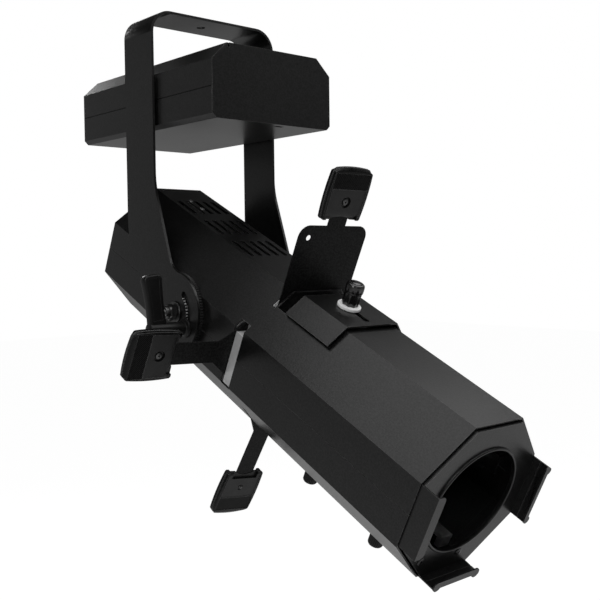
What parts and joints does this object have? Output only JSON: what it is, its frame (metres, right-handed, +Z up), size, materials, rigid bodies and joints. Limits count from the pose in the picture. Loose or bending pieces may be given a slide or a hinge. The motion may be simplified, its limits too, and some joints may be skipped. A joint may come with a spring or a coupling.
{
  "type": "led stage light",
  "caption": "Profile spot: octagonal sheet-metal barrel with framing shutters and sliding lenses, tilting in a flat-bar yoke under a driver box.",
  "frame": {"origin": "centre of the clamp bolt hole on the top face of the yoke strap", "axes": "+Z up out of the strap, -Y the way the lens looks at zero tilt, X along the tilt axis"},
  "size_m": [0.4074, 0.5967, 0.5804],
  "materials": {
    "black_paint": "satin black powder coat",
    "zinc_steel": "zinc plated",
    "blade_steel": "darkened steel",
    "bare_aluminium": "bare aluminium",
    "black_plastic": "matt black moulded plastic",
    "blue_plastic": "blue moulded plastic",
    "white_nylon": "natural nylon",
    "lens_glass": "polished optical glass",
    "circuit_board": "laminate with components",
    "display": "dark display window"
  },
  "bodies": {
    "yoke_frame": {"yoke": "black_paint", "driver_cover": "black_paint", "driver_tray": "black_paint", "driver_front_plate": "black_paint", "driver_rear_plate": "black_paint", "driver_board": "circuit_board", "power_inlet": "blue_plastic", "data_sockets": "black_plastic", "display_window": "display", "driver_spacers": "zinc_steel", "driver_mount_screws": "black_paint", "box_cable_gland": "black_plastic"},
    "barrel": {"upper_shell": "black_paint", "lower_shell": "black_paint", "front_plate": "black_paint", "rear_plate": "black_paint", "left_frame_holder": "black_paint", "right_frame_holder": "black_paint", "bottom_frame_holder": "black_paint", "pivot_plates": "zinc_steel", "friction_discs": "black_plastic", "pivot_bolts": "zinc_steel", "pivot_nuts": "blade_steel", "heat_sink": "bare_aluminium", "led_board": "circuit_board", "reflector": "bare_aluminium", "fan_frame": "black_plastic", "gate_core": "bare_aluminium", "gate_plates": "black_paint", "gate_separators": "bare_aluminium", "lens_rails": "bare_aluminium", "barrel_screws": "zinc_steel", "barrel_cable_gland": "black_plastic"},
    "clamp_lever": {"tilt_lever": "black_plastic"},
    "fan": {"fan_rotor": "black_plastic"},
    "top_shutter": {"top_blade": "blade_steel", "top_grip": "black_plastic", "top_grip_screw": "zinc_steel"},
    "bottom_shutter": {"bottom_blade": "blade_steel", "bottom_grip": "black_plastic", "bottom_grip_screw": "zinc_steel"},
    "left_shutter": {"left_blade": "blade_steel", "left_grip": "black_plastic", "left_grip_screw": "zinc_steel"},
    "right_shutter": {"right_blade": "blade_steel", "right_grip": "black_plastic", "right_grip_screw": "zinc_steel"},
    "accessory_cover": {"slot_cover": "black_paint"},
    "accessory_cover_knob": {"cover_knob": "black_plastic", "cover_washer": "white_nylon"},
    "rear_lens_carriage": {"rear_lens_carrier": "black_paint", "rear_lens": "lens_glass"},
    "front_lens_carriage": {"front_lens_carrier": "black_paint", "front_lens": "lens_glass"},
    "rear_lens_lock": {"rear_lens_knob": "black_plastic"},
    "front_lens_lock": {"front_lens_knob": "black_plastic"},
    "button_up": {"menu_button_up": "black_plastic"},
    "button_down": {"menu_button_down": "black_plastic"},
    "button_enter": {"menu_button_enter": "black_plastic"},
    "button_back": {"menu_button_back": "black_plastic"}
  },
  "joints": [
    {"name": "barrel_tilt", "type": "hinge", "parent": "yoke_frame", "child": "barrel", "pos_m": [0, -0.0685, -0.34], "axis": [1, 0, 0], "range_deg": [-30.2, 64.8]},
    {"name": "clamp_lever_turn", "type": "hinge", "parent": "barrel", "child": "clamp_lever", "pos_m": [-0.134, -0.08769, -0.3568], "axis": [1, 0, 0], "range_deg": [-180, 0]},
    {"name": "fan_spin", "type": "hinge", "parent": "barrel", "child": "fan", "pos_m": [0, 0.07627, -0.27188], "axis": [0, -0.9048, -0.4258], "continuous": true},
    {"name": "top_shutter_slide", "type": "slide", "parent": "barrel", "child": "top_shutter", "axis": [0, 0.4258, -0.9048], "range_m": [0, 0.055]},
    {"name": "bottom_shutter_slide", "type": "slide", "parent": "barrel", "child": "bottom_shutter", "axis": [0.1461, -0.4212, 0.8951], "range_m": [0, 0.055]},
    {"name": "left_shutter_slide", "type": "slide", "parent": "barrel", "child": "left_shutter", "axis": [0.999, 0.0186, -0.0395], "range_m": [0, 0.055]},
    {"name": "right_shutter_slide", "type": "slide", "parent": "barrel", "child": "right_shutter", "axis": [-0.9893, -0.0622, 0.1322], "range_m": [0, 0.055]},
    {"name": "accessory_cover_slide", "type": "slide", "parent": "barrel", "child": "accessory_cover", "axis": [0, 0.9048, 0.4258], "range_m": [0, 0.017]},
    {"name": "accessory_knob_turn", "type": "hinge", "parent": "barrel", "child": "accessory_cover_knob", "pos_m": [0, -0.25856, -0.31892], "axis": [0, -0.4258, 0.9048], "range_deg": [0, 270]},
    {"name": "rear_lens_slide", "type": "slide", "parent": "barrel", "child": "rear_lens_carriage", "axis": [0, -0.9048, -0.4258], "range_m": [-0.022, 0.04]},
    {"name": "front_lens_slide", "type": "slide", "parent": "barrel", "child": "front_lens_carriage", "axis": [0, -0.9048, -0.4258], "range_m": [-0.022, 0.034]},
    {"name": "rear_lens_lock_turn", "type": "hinge", "parent": "rear_lens_carriage", "child": "rear_lens_lock", "pos_m": [0, -0.19512, -0.5101], "axis": [0, 0.4258, -0.9048], "range_deg": [0, 270]},
    {"name": "front_lens_lock_turn", "type": "hinge", "parent": "front_lens_carriage", "child": "front_lens_lock", "pos_m": [0, -0.29194, -0.55566], "axis": [0, 0.4258, -0.9048], "range_deg": [0, 270]},
    {"name": "button_up_press", "type": "slide", "parent": "yoke_frame", "child": "button_up", "axis": [0, -1, 0], "range_m": [0, 0.0008], "stiffness_N_per_m": 600, "springref_m": -0.0005},
    {"name": "button_down_press", "type": "slide", "parent": "yoke_frame", "child": "button_down", "axis": [0, -1, 0], "range_m": [0, 0.0008], "stiffness_N_per_m": 600, "springref_m": -0.0005},
    {"name": "button_enter_press", "type": "slide", "parent": "yoke_frame", "child": "button_enter", "axis": [0, -1, 0], "range_m": [0, 0.0008], "stiffness_N_per_m": 600, "springref_m": -0.0005},
    {"name": "button_back_press", "type": "slide", "parent": "yoke_frame", "child": "button_back", "axis": [0, -1, 0], "range_m": [0, 0.0008], "stiffness_N_per_m": 600, "springref_m": -0.0005}
  ]
}
